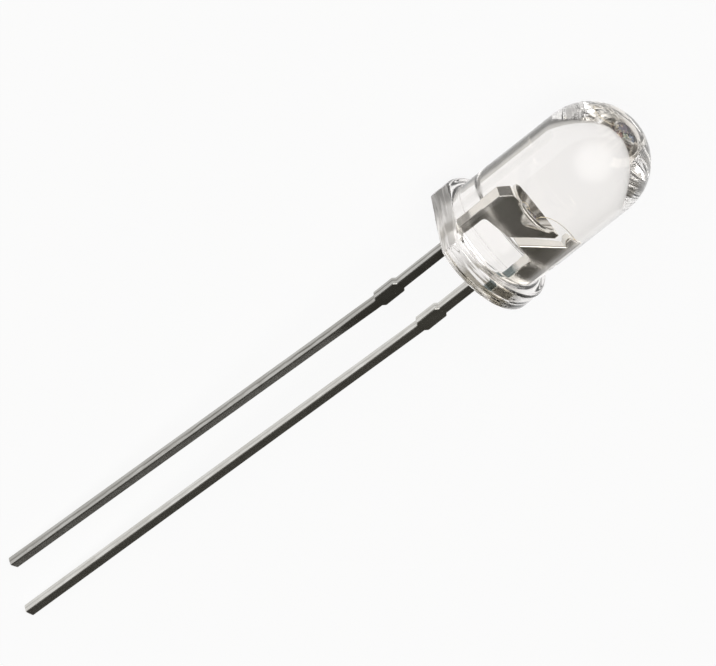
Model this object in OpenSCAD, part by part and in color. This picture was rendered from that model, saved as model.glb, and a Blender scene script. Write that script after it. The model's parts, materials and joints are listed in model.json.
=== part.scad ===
// Water clear 5 mm light emitting diode with two unequal leads, lying as it comes to rest.
// Every piece is drawn upright first: the lens axis is Z, the underside of the flange is z = 0,
// the short cathode lead is at -X, and the face of the stamped frame with the bright cup is at -Y.
// laid() then puts it down on the rim of the flange and on both lead tips, with that face up.

/* [Lens] */
// Diameter of the straight barrel, and of the dome on it
barrel_d = 5.0; // [4.8:0.1:5.6]
// Diameter of the flange
flange_d = 5.96; // [5.9:0.02:6.6]
// Thickness of the flange
flange_h = 1.0; // [0.7:0.1:1.6]
// How far the flat on the flange stands outside the barrel
flat_proud = 0.02; // [0.01:0.01:0.1]
// Height of the dome's centre above the underside of the flange
dome_z = 6.5; // [5:0.1:8]
// Rounding of the two edges of the flange
rim_round = 0.1; // [0.04:0.02:0.2]
// Fillet where the barrel meets the flange
root_round = 0.14; // [0.06:0.02:0.2]
// Radius of the shallow dip that the resin leaves in the underside, between the leads
dip_r = 0.7; // [0.5:0.05:0.9]
// Depth of that dip
dip_h = 0.12; // [0.04:0.02:0.2]

/* [Leads] */
// Distance between the middles of the two leads
lead_pitch = 2.5; // [2.4:0.02:2.8]
// Width of a lead, across the frame
lead_w = 0.46; // [0.4:0.02:0.56]
// Thickness of a lead, which is that of the stamped strip
lead_t = 0.38; // [0.3:0.02:0.5]
// Length of the cathode lead below the flange
cathode_len = 26; // [15:0.2:28]
// How much longer the anode lead is
anode_extra = 1.6; // [0.8:0.1:3]
// Bevel round a cut tip
tip_bevel = 0.08; // [0.02:0.02:0.12]
// Distance from the flange down to the middle of a tie bar stub
stub_drop = 4.0; // [2:0.1:6]
// Length of a tie bar stub along its lead
stub_len = 1.3; // [0.8:0.1:2]
// How far a stub stands out from each side of its lead
stub_out = 0.13; // [0.08:0.01:0.25]
// Bevel at the ends of a stub
stub_bevel = 0.12; // [0.04:0.02:0.2]
// Angle by which the cathode lead is bent back, just below its stub
cathode_bend = 3.6; // [0.2:0.2:6]
// Angle by which the anode lead is bent back there
anode_bend = 3; // [0.2:0.2:6]
// Radius of those bends, to the middle of the lead
bend_r = 1.6; // [1:0.1:3]
// Distance along the lead from the stub's end to the bend
bend_gap = 0.1; // [0.05:0.05:0.5]

/* [Frame in the lens] */
// Height of the top of the window between the leads, at the cathode side
window_z = 1.78; // [1.5:0.02:1.9]
// How much higher the window's top is at the slit
window_rise = 0.12; // [0:0.02:0.3]
// Rounding of the window's two upper corners
window_round = 0.2; // [0.1:0.02:0.3]
// Distance from the slit's foot to the lens axis, on the cathode side of the slit
slit_x = 0.14; // [0:0.02:0.3]
// Width of the slit between anvil and post, measured level
slit_w = 0.34; // [0.26:0.02:0.44]
// Slope of the slit
slit_slope = 58; // [54:1:62]
// Height of the top of the anvil
anvil_z = 3.5; // [3.3:0.05:3.8]
// Distance from the lens axis to the anvil's upright edge beside the post
anvil_edge = 0.98; // [0.9:0.02:1.05]
// Width of the slanted corner of the anvil
shoulder_w = 0.44; // [0.2:0.02:0.5]
// Height of the slanted corner of the anvil
shoulder_h = 0.48; // [0.3:0.02:0.7]
// How far the post's top stands above the anvil's
post_over = 0.15; // [0:0.05:0.3]
// Width of the bonding land on top of the post
land_w = 0.28; // [0.24:0.01:0.32]
// Height of the post's head, which coining has spread towards the anvil
head_h = 0.24; // [0.18:0.02:0.28]
// Width of the post's neck, just below its head
neck_w = 0.2; // [0.16:0.01:0.22]
// Height of the coined slope below the land, on the front of the post
land_h = 0.75; // [0.5:0.05:1]
// How far the coined slope leans back at the top
land_lean = 0.08; // [0.04:0.01:0.12]
// How much thicker than the leads the upset metal is, on each side
swell = 0.04; // [0.02:0.01:0.08]
// Distance from the window's highest edge up to the bevel where the metal thickens
swell_gap = 0.08; // [0.04:0.02:0.16]
// Height of that bevel
swell_h = 0.1; // [0.06:0.02:0.2]

/* [Cup] */
// Place of the cup's axis across the frame, from the lens axis towards the anode
cup_x = 0.05; // [0:0.01:0.1]
// How far the cup's rim stands above the top of the anvil
cup_proud = 0.06; // [0.06:0.01:0.1]
// Depth of the cup below its rim
cup_depth = 0.36; // [0.33:0.01:0.38]
// How far the cup's wall spreads from the floor to the mouth
cup_spread = 0.2; // [0.18:0.01:0.24]
// Width of the rim round the mouth
cup_rim = 0.04; // [0.03:0.01:0.06]
// Rounding of the rim
cup_rim_round = 0.02; // [0.01:0.005:0.02]
// Height of the straight band round the cup
cup_band = 0.16; // [0.14:0.02:0.2]
// Thickness of the metal round the cup's floor, above the pointed underside
cup_wall = 0.06; // [0.05:0.01:0.07]

/* [Chips] */
// Width of the driver chip, along the frame
driver_w = 0.34; // [0.28:0.01:0.38]
// Length of the driver chip, across the frame
driver_l = 0.4; // [0.32:0.01:0.46]
// Thickness of the driver chip
driver_h = 0.12; // [0.08:0.01:0.16]
// Side of a light emitting chip
die_w = 0.22; // [0.18:0.01:0.24]
// Thickness of a light emitting chip
die_h = 0.1; // [0.07:0.01:0.13]
// Distance between neighbouring chips
chip_gap = 0.06; // [0.05:0.01:0.08]
// Thickness of the adhesive under a chip
paste_h = 0.02; // [0.01:0.005:0.03]
// How far the adhesive shows round a chip
paste_out = 0.02; // [0.01:0.005:0.024]
// Free width of the cup's floor round the chips
floor_free = 0.03; // [0.01:0.01:0.06]

/* [Bond wires] */
// Diameter of a bond wire
wire_d = 0.026; // [0.02:0.002:0.034]
// Diameter of the ball at a wire's first end
ball_d = 0.08; // [0.06:0.005:0.09]
// Height of the ball
ball_h = 0.036; // [0.03:0.002:0.045]
// Diameter of the flattened foot at a wire's second end
foot_d = 0.07; // [0.05:0.005:0.08]
// Height of the foot
foot_h = 0.034; // [0.03:0.002:0.04]
// Distance from a chip's edge to the middle of a bond near it
bond_inset = 0.055; // [0.05:0.005:0.07]
// How high the wire from the post bows above its chord
supply_bow = 0.34; // [0.3:0.02:0.5]
// How high a wire between two chips bows
chip_bow = 0.09; // [0.07:0.01:0.12]
// How high the wire to the cup's floor bows
return_bow = 0.1; // [0.08:0.01:0.14]

/* [Hidden] */
$fn = 96;
over = 1;

barrel_r = barrel_d / 2;
flange_r = flange_d / 2;
flat_x = barrel_r + flat_proud;
anode_len = cathode_len + anode_extra;

lead_x = lead_pitch / 2;
lead_in = lead_x - lead_w / 2;
lead_out = lead_x + lead_w / 2;
leg_top = window_z + window_rise;
slit_foot_z = leg_top;
slit_run = 1 / tan(slit_slope);
anvil_edge_z = slit_foot_z + (anvil_edge - slit_x) / slit_run;
post_z = anvil_z + post_over;
land_x = lead_out - land_w;
neck_x = lead_out - neck_w;
neck_z = slit_foot_z + (neck_x - slit_x - slit_w) / slit_run;
toe_x = slit_x + slit_w;
toe_slope = atan2(slit_foot_z - window_z, lead_in - toe_x);
window_slope = atan2(window_rise, lead_in + slit_x);
thick_t = lead_t + 2 * swell;
swell_z = leg_top + swell_gap;

chips_reach = max(
    norm([chip_gap / 2 + die_w + paste_out, chip_gap + 1.5 * die_w + paste_out]),
    norm([chip_gap / 2 + driver_w + paste_out, driver_l / 2 + paste_out]));
cup_floor_r = chips_reach + floor_free;
cup_r = cup_floor_r + cup_spread;
head_r = cup_r + cup_rim;
cup_z = anvil_z + cup_proud;
cup_floor_z = cup_z - cup_depth;
cup_point = head_r * (cup_depth - cup_band) / (head_r - cup_floor_r - cup_wall);
driver_x = cup_x + (chip_gap + driver_w) / 2;
die_x = cup_x - (chip_gap + die_w) / 2;
die_step = die_w + chip_gap;
driver_top = cup_floor_z + paste_h + driver_h;
die_top = cup_floor_z + paste_h + die_h;
bond_y = driver_l / 2 - bond_inset;

bend_drop = stub_drop + stub_len / 2 + bend_gap;

// How far the underside of a lead's tip is below and behind the middle of the flange's underside.
function tip_down(length, bend) =
    bend_drop + (bend_r - lead_t / 2) * sin(bend) + (length - bend_drop - tip_bevel) * cos(bend);
function tip_back(length, bend) =
    bend_r - (bend_r - lead_t / 2) * cos(bend) + (length - bend_drop - tip_bevel) * sin(bend);
cathode_down = tip_down(cathode_len, cathode_bend);
cathode_back = tip_back(cathode_len, cathode_bend);
anode_down = tip_down(anode_len, anode_bend);
anode_back = tip_back(anode_len, anode_bend);

// The plane that touches the flange's rim and both tips rises by plane_along for each millimetre
// along the lens axis, and by plane_across for each millimetre across it. The tips give
// plane_across = -(turn * plane_along + shift), and the rim gives a quadratic for plane_along.
// Each tip stands on its outer or its inner corner, to which side the plane falls.
turn = (anode_down - cathode_down) / lead_pitch;
shift = (anode_back - cathode_back) / lead_pitch;
function rise_on(corner) =
    let (reach_a = cathode_down + rim_round + turn * corner)
    let (reach_b = cathode_back + shift * corner)
    let (square_term = pow(reach_a, 2) - pow(flange_r * turn, 2))
    let (half_term = reach_a * reach_b - pow(flange_r, 2) * turn * shift)
    let (free_term = pow(reach_b, 2) - pow(flange_r, 2) * (1 + pow(shift, 2)))
    (sqrt(pow(half_term, 2) - square_term * free_term) - half_term) / square_term;
outer_rise = rise_on(lead_out);
plane_along = turn * outer_rise + shift < 0 ? rise_on(lead_in) : outer_rise;
plane_across = -(turn * plane_along + shift);
roll = atan(plane_across);
nose_up = atan(plane_along * cos(roll));
lift = flange_r * cos(nose_up) - rim_round * sin(nose_up);
nose_x = dome_z * cos(nose_up) + barrel_r;
tail_x = -anode_down * cos(nose_up);
middle_y = (flat_x - flange_r) / 2;

// Puts an upright piece down in its place of rest.
module laid() {
    translate([-(nose_x + tail_x) / 2, -middle_y, lift])
        rotate([0, -nose_up, 0])
            rotate([roll, 0, 0])
                rotate([-90, 0, -90])
                    children();
}

// Stands an outline drawn in X and Z upright, centred on the plane y = 0.
module stood(thick) {
    rotate([90, 0, 0])
        translate([0, 0, -thick / 2])
            linear_extrude(thick)
                children();
}

// Stands an outline drawn in Y and Z upright, centred on the plane x = at.
module stood_across(width, at) {
    translate([at - width / 2, 0, 0])
        rotate([90, 0, 90])
            linear_extrude(width)
                children();
}

// Fills an inner corner with a rounded web, in the space between two directions.
module web(corner, first, second, r) {
    middle = (first + second) / 2;
    half = (second - first) / 2;
    way = [cos(middle), sin(middle)];
    reach = r / tan(half);
    centre = corner + r / sin(half) * way;
    difference() {
        polygon([corner - r * way, corner + reach * [cos(first), sin(first)], centre,
            corner + reach * [cos(second), sin(second)]]);
        translate(centre)
            circle(r);
    }
}

// Outline of the lens from its axis outwards, for a revolve.
module lens_profile() {
    difference() {
        union() {
            square([flange_r - rim_round, flange_h]);
            translate([0, rim_round])
                square([flange_r, flange_h - 2 * rim_round]);
            for (z = [rim_round, flange_h - rim_round])
                translate([flange_r - rim_round, z])
                    circle(rim_round);
            square([barrel_r, dome_z]);
            square([barrel_r + root_round, flange_h + root_round]);
            translate([0, dome_z])
                circle(barrel_r);
        }
        translate([barrel_r + root_round, flange_h + root_round])
            circle(root_round);
        translate([-2 * flange_r, -over])
            square([2 * flange_r, dome_z + barrel_r + 2 * over]);
        resin_dip();
    }
}

// Section of the dip in the underside: an arc through its depth and its edge.
module resin_dip() {
    bow_r = (pow(dip_r, 2) + pow(dip_h, 2)) / (2 * dip_h);
    translate([0, dip_h - bow_r])
        circle(bow_r);
}

module lens_form() {
    difference() {
        rotate_extrude()
            lens_profile();
        translate([-flat_x - 2 * over, -flange_r, -over])
            cube([2 * over, 2 * flange_r, over + flange_h + root_round]);
    }
}

// One lead from the bend up to the window's top, with its tie bar stub.
module leg_outline(x) {
    half = lead_w / 2;
    stub = half + stub_out;
    low = -stub_drop - stub_len / 2;
    high = -stub_drop + stub_len / 2;
    translate([x, 0])
        polygon([[-half, -bend_drop], [half, -bend_drop], [half, low], [stub, low + stub_bevel],
            [stub, high - stub_bevel], [half, high], [half, leg_top], [-half, leg_top],
            [-half, high], [-stub, high - stub_bevel], [-stub, low + stub_bevel], [-half, low]]);
}

// Edge view of a frame half above the bend: plain leg, then thicker metal above the window.
module edge_outline(top_z, front_top) {
    thin = lead_t / 2;
    thick = thick_t / 2;
    polygon([[-thin, -bend_drop], [thin, -bend_drop], [thin, swell_z], [thick, swell_z + swell_h],
        [thick, top_z], [-front_top, top_z], [-thick, front_top < thick ? top_z - land_h : top_z],
        [-thick, swell_z + swell_h], [-thin, swell_z]]);
}

// Outline of the end of a lead: square cut, with a bevel on both sides.
module tail_outline(width, length) {
    half = width / 2;
    polygon([[-half, 0], [-half, tip_bevel - length], [tip_bevel - half, -length],
        [half - tip_bevel, -length], [half, tip_bevel - length], [half, 0]]);
}

// The rest of a lead: a slight bend towards the back, then straight down to the cut tip.
module lead_tail(x, length, bend) {
    translate([x, bend_r, -bend_drop])
        rotate([0, 90, 0])
            rotate([0, 0, -90])
                rotate_extrude(angle = bend)
                    translate([bend_r - lead_t / 2, -lead_w / 2])
                        square([lead_t, lead_w]);
    translate([x, bend_r, -bend_drop])
        rotate([bend, 0, 0])
            translate([0, -bend_r, 0])
                intersection() {
                    stood(2 * lead_t)
                        tail_outline(lead_w, length);
                    stood_across(2 * lead_w, 0)
                        tail_outline(lead_t, length);
                }
}

module anvil_outline() {
    polygon([[-lead_out, window_z], [-lead_in, window_z], [slit_x, slit_foot_z],
        [anvil_edge, anvil_edge_z], [anvil_edge, anvil_z], [-lead_out + shoulder_w, anvil_z],
        [-lead_out, anvil_z - shoulder_h]]);
    web([-lead_in, window_z], -90, window_slope, window_round);
}

module post_outline() {
    polygon([[lead_out, window_z], [lead_out, post_z], [land_x, post_z], [land_x, post_z - head_h],
        [neck_x, neck_z], [toe_x, slit_foot_z], [lead_in, window_z]]);
    web([lead_in, window_z], 180 - toe_slope, 270, window_round);
}

// Solid round head of the cup: a band below the rounded rim, and a pointed underside.
module cup_head() {
    rotate_extrude() {
        polygon([[0, -cup_band - cup_point], [head_r, -cup_band], [head_r, -cup_rim_round],
            [head_r - cup_rim_round, -cup_rim_round], [head_r - cup_rim_round, 0], [0, 0]]);
        translate([head_r - cup_rim_round, -cup_rim_round])
            circle(cup_rim_round);
    }
}

module cup_hollow() {
    translate([0, 0, -cup_depth])
        cylinder(h = cup_depth, r1 = cup_floor_r, r2 = cup_r);
    cylinder(h = over, r = cup_r);
}

// Cathode half of the frame: lead, anvil and reflector cup stamped from one strip.
module cathode_form() {
    difference() {
        union() {
            lead_tail(-lead_x, cathode_len - bend_drop, cathode_bend);
            intersection() {
                stood(2 * thick_t) {
                    leg_outline(-lead_x);
                    anvil_outline();
                }
                stood_across(2 * flange_d, 0)
                    edge_outline(anvil_z, thick_t / 2);
            }
            translate([cup_x, 0, cup_z])
                cup_head();
        }
        translate([cup_x, 0, cup_z])
            cup_hollow();
    }
}

// Anode half of the frame: lead and post, with the coined land that takes the wire.
module anode_form() {
    lead_tail(lead_x, anode_len - bend_drop, anode_bend);
    intersection() {
        stood(2 * thick_t) {
            leg_outline(lead_x);
            post_outline();
        }
        stood_across(2 * flange_d, 0)
            edge_outline(post_z, thick_t / 2 - land_lean);
    }
}

// A chip or its adhesive: a block on the level z, centred on x and y.
module block_at(x, y, z, size) {
    translate([x - size[0] / 2, y - size[1] / 2, z])
        cube(size);
}

module driver_form() {
    block_at(driver_x, 0, cup_floor_z + paste_h, [driver_w, driver_l, driver_h]);
}

module die_form(place) {
    block_at(die_x, place * die_step, cup_floor_z + paste_h, [die_w, die_w, die_h]);
}

module driver_paste_form() {
    block_at(driver_x, 0, cup_floor_z,
        [driver_w + 2 * paste_out, driver_l + 2 * paste_out, paste_h]);
}

module die_paste_form(place) {
    block_at(die_x, place * die_step, cup_floor_z,
        [die_w + 2 * paste_out, die_w + 2 * paste_out, paste_h]);
}

// A bond wire: a ball on the level of start, one bowed arc, and a flat foot on the level of end.
module bond_wire(start, end, bow) {
    from = start + [0, 0, ball_h / 2];
    to = end + [0, 0, foot_h / 2];
    run = norm([to[0] - from[0], to[1] - from[1]]);
    rise = to[2] - from[2];
    chord = norm([run, rise]);
    bow_r = (pow(chord / 2, 2) + pow(bow, 2)) / (2 * bow);
    half = asin(chord / 2 / bow_r);
    translate(start)
        cylinder(h = ball_h, d = ball_d);
    translate(end)
        cylinder(h = foot_h, d = foot_d);
    translate(from)
        rotate([0, 0, atan2(to[1] - from[1], to[0] - from[0])])
            rotate([0, -atan2(rise, run), 0])
                translate([chord / 2, 0, bow - bow_r])
                    rotate([90, 0, 0])
                        rotate([0, 0, 90 - half])
                            rotate_extrude(angle = 2 * half)
                                translate([bow_r, 0])
                                    circle(d = wire_d);
}

module supply_wire_form() {
    bond_wire([driver_x + driver_w / 2 - bond_inset, 0, driver_top],
        [lead_out - land_w / 2, 0, post_z], supply_bow);
}

module die_wire_form(place) {
    bond_wire([die_x, place * die_step, die_top],
        [driver_x - driver_w / 2 + bond_inset, place * bond_y, driver_top], chip_bow);
}

module return_wire_form() {
    bond_wire([driver_x + driver_w / 2 - bond_inset, -bond_y, driver_top],
        [cup_x + chip_gap, -(cup_floor_r + driver_l / 2 + paste_out) / 2, cup_floor_z], return_bow);
}

module lens_body() {
    color([0.9, 0.92, 0.94, 0.35])
        laid()
            difference() {
                lens_form();
                cathode_form();
                anode_form();
                driver_form();
                driver_paste_form();
                for (place = [-1:1]) {
                    die_form(place);
                    die_paste_form(place);
                    die_wire_form(place);
                }
                supply_wire_form();
                return_wire_form();
            }
}

module cathode_lead() {
    color([0.66, 0.64, 0.61]) laid() cathode_form();
}

module anode_lead() {
    color([0.62, 0.6, 0.57]) laid() anode_form();
}

module driver_chip() {
    color([0.32, 0.34, 0.4]) laid() driver_form();
}

module red_chip() {
    color([0.62, 0.36, 0.3]) laid() die_form(-1);
}

module green_chip() {
    color([0.62, 0.72, 0.6]) laid() die_form(0);
}

module blue_chip() {
    color([0.6, 0.66, 0.76]) laid() die_form(1);
}

module paste_colour() {
    color([0.7, 0.69, 0.66]) laid() children();
}

module driver_paste() {
    paste_colour() driver_paste_form();
}

module red_paste() {
    paste_colour() die_paste_form(-1);
}

module green_paste() {
    paste_colour() die_paste_form(0);
}

module blue_paste() {
    paste_colour() die_paste_form(1);
}

module gold_colour() {
    color([0.85, 0.65, 0.3]) laid() children();
}

module supply_wire() {
    gold_colour() supply_wire_form();
}

module red_wire() {
    gold_colour() die_wire_form(-1);
}

module green_wire() {
    gold_colour() die_wire_form(0);
}

module blue_wire() {
    gold_colour() die_wire_form(1);
}

module return_wire() {
    gold_colour() return_wire_form();
}

lens_body();
cathode_lead();
anode_lead();
driver_chip();
red_chip();
green_chip();
blue_chip();
driver_paste();
red_paste();
green_paste();
blue_paste();
supply_wire();
red_wire();
green_wire();
blue_wire();
return_wire();
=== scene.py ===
"""Looks of a water clear through hole LED, lying on a pale floor.

Every piece is built upright in millimetres, as the LED stands on its leads: Z is the lens axis,
z = 0 the underside of the flange, -X the side of the short cathode lead and -Y the bright side of
the stamped frame. TO_ROW then turns it into the row's frame, in metres.
"""

import json
import math

import bmesh
import bpy
import numpy as np
from mathutils import Matrix, Vector, noise


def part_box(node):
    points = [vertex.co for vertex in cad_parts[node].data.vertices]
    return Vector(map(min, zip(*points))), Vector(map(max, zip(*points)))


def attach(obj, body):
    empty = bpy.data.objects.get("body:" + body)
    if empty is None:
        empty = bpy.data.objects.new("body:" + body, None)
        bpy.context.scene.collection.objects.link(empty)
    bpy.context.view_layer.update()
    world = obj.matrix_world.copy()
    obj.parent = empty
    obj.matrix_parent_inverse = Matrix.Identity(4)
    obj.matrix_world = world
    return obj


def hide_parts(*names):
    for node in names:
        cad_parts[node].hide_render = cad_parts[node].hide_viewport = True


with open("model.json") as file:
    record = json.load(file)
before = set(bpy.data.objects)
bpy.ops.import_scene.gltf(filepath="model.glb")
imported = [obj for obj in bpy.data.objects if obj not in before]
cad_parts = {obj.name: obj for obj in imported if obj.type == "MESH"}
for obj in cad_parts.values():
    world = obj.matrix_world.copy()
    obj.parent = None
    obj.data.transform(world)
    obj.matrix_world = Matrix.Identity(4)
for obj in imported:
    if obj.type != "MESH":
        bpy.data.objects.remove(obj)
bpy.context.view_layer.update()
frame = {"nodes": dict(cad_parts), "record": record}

MM = 0.001
PICTURE = (716, 666)

# How the photograph looks at the LED
VIEW_LEAN = math.radians(26.3)
VIEW_TURN = math.radians(41.0)
AXIS_SLOPE = math.radians(38.3)
PX_PER_MM = 24.3
BASE_PX = (478.6, 249.9)
VIEW_DISTANCE = 1100.0

# Stamped frame
LEAD_W = 0.46
LEAD_T = 0.38
STUB_DROP = 4.0
STUB_LEN = 1.3
STUB_OUT = 0.13
STUB_BEVEL = 0.12
STUB_ROOT_ROUND = 0.03
BEND_R = 1.6
BEND_GAP = 0.1
TIP_BEVEL = 0.08
WINDOW_Z = 1.78
WINDOW_RISE = 0.12
WINDOW_ROUND = 0.2
SLIT_X = 0.14
SLIT_W = 0.34
SLIT_SLOPE = math.radians(58)
SLIT_FOOT_ROUND = 0.05
ANVIL_Z = 3.5
ANVIL_EDGE = 0.98
SHOULDER_W = 0.44
SHOULDER_H = 0.48
LAND_W = 0.28
HEAD_H = 0.24
NECK_W = 0.2
NECK_ROUND = 0.04
LAND_H = 0.75
LAND_LEAN = 0.08
SWELL = 0.04
SWELL_GAP = 0.08
SWELL_H = 0.1
POST_SWELL_DROP = 0.28
POST_SWELL_SLOPE = 1.05
EDGE_ROUND = 0.05
EDGE_STEPS = 4
CORNER = 0.055

# Bend of each lead below its stub, and the slight twist that handling has given it there
CATHODE_BEND = math.radians(3.6)
ANODE_BEND = math.radians(3.0)
CATHODE_TWIST = math.radians(14)
ANODE_TWIST = math.radians(6)
TWIST_RUN = 3.0
TWIST_STEPS = 14

# Reflector cup
CUP_X = 0.05
CUP_PROUD = 0.06
CUP_FLOOR_R = 0.521
CUP_SPREAD = 0.2
CUP_RIM = 0.04
CUP_RIM_ROUND = 0.02
CUP_BAND = 0.16
CUP_WALL = 0.06
CUP_FOOT_ROUND = 0.03
CUP_LIP = 0.012

# Lens
FLANGE_H = 1.0
DOME_Z = 6.5
RIM_ROUND = 0.15
ROOT_ROUND = 0.2
TOP_ROUND_SHARE = 0.5
ROOT_ROUND_SHARE = 0.42
FLAT_CORNER = 0.008
LOW_ROUND = 0.05
BELLY_H = 0.1
BELLY_W = 0.28
DIP_R = 0.7
DIP_H = 0.12
MENISCUS_H = 0.16
MENISCUS_W = 0.12
TIP_SHY = 0.005
SHRINK_H = 0.03
SHRINK_GAP = 0.44
SHRINK_REACH = 1.3
SHRINK_MEAN = 0.55
SHRINK_LEAN = 0.45

# Studio light: directions as (turn, rise) in degrees over the floor, colours with their brightness
LAMP_AT = (46, 48)
LAMP_WIDE = (5, 50)
LAMP = (2.5, 2.48, 2.44, 1)
DARK_TURN = 215
DARK_WIDE = (34, 58)
DARK_RISE = (5, 14, 60, 74)
DARK = (0.045, 0.043, 0.036, 1)
ROOM = (0.155, 0.15, 0.142, 1)
HORIZON = (0.6, 0.59, 0.57, 1)
HORIZON_TURN = 250
HORIZON_WIDE = (45, 108)
HORIZON_RISE = 16

# Floor: half its side in metres, its grey, and how much of a plain white is mixed into what is seen
FLOOR_HALF = 1.5
FLOOR_TONE = (0.9, 0.96)
FLOOR_GLOW = 0.9

# Finish of the resin: haze is added roughness, clear is the share that light passes through
RESIN_IOR = 1.53
RESIN_CLEAR = 0.988
RIM_HAZE = 0.04
FLAT_HAZE = 0.25
FLAT_CLEAR = 0.6
# Painted shade: dark brown lines in the resin's colour, for the dark lines seen through the flange's wall
PAINTED_LINE_TINT = (0.14, 0.125, 0.095, 1)
PAINTED_LINE_BANDS = (0.41, 0.49)

# Painted shade on the metal: a dark patch on the long lead's foot and dark streaks in the cup's hollow
PAINTED_FOOT_SHADE = (0.1, 0.14, 0.14, 1)
CUP_PAINTED_SHADE = (0.26, 0.24, 0.21, 1)

# Chips
CRYSTAL_IOR = 1.77
DRIVER_PAD_R = 0.034
DIE_PAD_R = 0.045
LINE_HALF = 0.006
LINE_SHARE = 0.4

# Bond wires
WIRE_D = 0.026
BALL_D = 0.08
BALL_H = 0.036
FOOT_D = 0.07
FOOT_H = 0.034
BOND_INSET = 0.055
SUPPLY_BOW = 0.34
CHIP_BOW = 0.09
RETURN_BOW = 0.1


def middle(node):
    """Middle of a CAD node, in metres."""
    low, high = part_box(node)
    return (low + high) / 2


def upright_to_row():
    """Matrix from the upright LED in millimetres to the row's frame in metres."""
    mounts = {m["name"]: m for m in frame["record"]["mounts"]}
    axis = Vector(mounts["lens_barrel"]["axis"]).normalized()
    back = middle("blue_chip") - middle("red_chip")
    back = (back - back.dot(axis) * axis).normalized()
    side = back.cross(axis)
    matrix = Matrix((side, back, axis)).transposed() * MM
    return Matrix.Translation(mounts["lead_pair"]["pos_m"]) @ matrix.to_4x4()


TO_ROW = upright_to_row()


def upright_box(node):
    """Lowest and highest corner of a CAD node on the upright LED, in millimetres."""
    back = TO_ROW.inverted()
    points = np.array([back @ v.co for v in frame["nodes"][node].data.vertices])
    return points.min(axis=0), points.max(axis=0)


LENS_LOW, LENS_HIGH = upright_box("lens_body")
CATHODE_LOW = upright_box("cathode_lead")[0]
ANODE_LOW, ANODE_HIGH = upright_box("anode_lead")
BARREL_R = LENS_HIGH[2] - DOME_Z
FLANGE_R = LENS_HIGH[0]
FLAT_X = -LENS_LOW[0]
LEAD_X = ANODE_HIGH[0] - STUB_OUT - LEAD_W / 2
POST_Z = ANODE_HIGH[2]
BEND_DROP = STUB_DROP + STUB_LEN / 2 + BEND_GAP
LEG_TOP = WINDOW_Z + WINDOW_RISE


class Lead:
    """One lead: where it is, and how it runs below its stub."""

    def __init__(self, x, low_z, bend, twist, swell_drop=0.0, swell_slope=0.0):
        self.x = x
        self.bend = bend
        self.twist = twist
        self.swell_drop = swell_drop
        self.swell_slope = swell_slope
        below = -low_z - BEND_DROP - (BEND_R - LEAD_T / 2) * math.sin(bend)
        below -= TIP_BEVEL * math.cos(bend)
        self.length = BEND_DROP + below / math.cos(bend) + TIP_BEVEL

    def twisted(self, x, y, along):
        """Turns a point about the lead's middle, which rises so that the tip stays on the floor."""
        share = min(along / TWIST_RUN, 1)
        turn = self.twist * share * share * (3 - 2 * share)
        c, s = math.cos(turn), math.sin(turn)
        off = x - self.x
        raised = (LEAD_W * s - LEAD_T * (1 - c)) / 2 * along / (self.length - BEND_DROP)
        return self.x + off * c - y * s, off * s + y * c - raised

    def bent(self, x, y, z):
        """Twists what lies below the stub, and bends it towards the back."""
        if z >= -BEND_DROP:
            return (x, y, z)
        along = -BEND_DROP - z
        x, y = self.twisted(x, y, along)
        turn = min(along / BEND_R, self.bend)
        rest = along - turn * BEND_R
        radius = BEND_R - y
        back = BEND_R - radius * math.cos(turn) + rest * math.sin(turn)
        down = BEND_DROP + radius * math.sin(turn) + rest * math.cos(turn)
        return (x, back, -down)

    def swell_z(self, x):
        """Height at which the strip starts to thicken."""
        above = (x - self.x - LEAD_W / 2) * self.swell_slope
        return LEG_TOP + SWELL_GAP - self.swell_drop + above

    def half_thickness(self, x, z):
        """Half the strip's thickness, with the swollen head and the rounded tip."""
        grow = min(max((z - self.swell_z(x)) / SWELL_H, 0), 1)
        half = LEAD_T / 2 + SWELL * grow
        above_tip = z + self.length
        if above_tip < TIP_BEVEL:
            share = 1 - above_tip / TIP_BEVEL
            half -= TIP_BEVEL * (1 - math.sqrt(max(1 - share * share, 0)))
        return half

    def cuts(self):
        """Planes that cut the plate into bands: its tip, its twist, its bend and its swelling."""
        tip = [TIP_BEVEL * (1 - math.cos(math.radians(a))) - self.length for a in (30, 60, 90)]
        run = [-BEND_DROP - TWIST_RUN * k / TWIST_STEPS for k in range(TWIST_STEPS + 1)]
        level = [(z, 0) for z in tip + run]
        swell = self.swell_z(0)
        return level + [(swell, self.swell_slope), (swell + SWELL_H, self.swell_slope)]

    def corners(self, side):
        """Corners of one edge, from the tip up. side is -1 for its left edge, 1 for its right."""
        low = -STUB_DROP - STUB_LEN / 2
        high = -STUB_DROP + STUB_LEN / 2
        edge = self.x + side * LEAD_W / 2
        out = edge + side * STUB_OUT
        return [
            (edge, -self.length, TIP_BEVEL),
            (edge, low, STUB_ROOT_ROUND),
            (out, low + STUB_BEVEL, CORNER),
            (out, high - STUB_BEVEL, CORNER),
            (edge, high, STUB_ROOT_ROUND),
        ]


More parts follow.
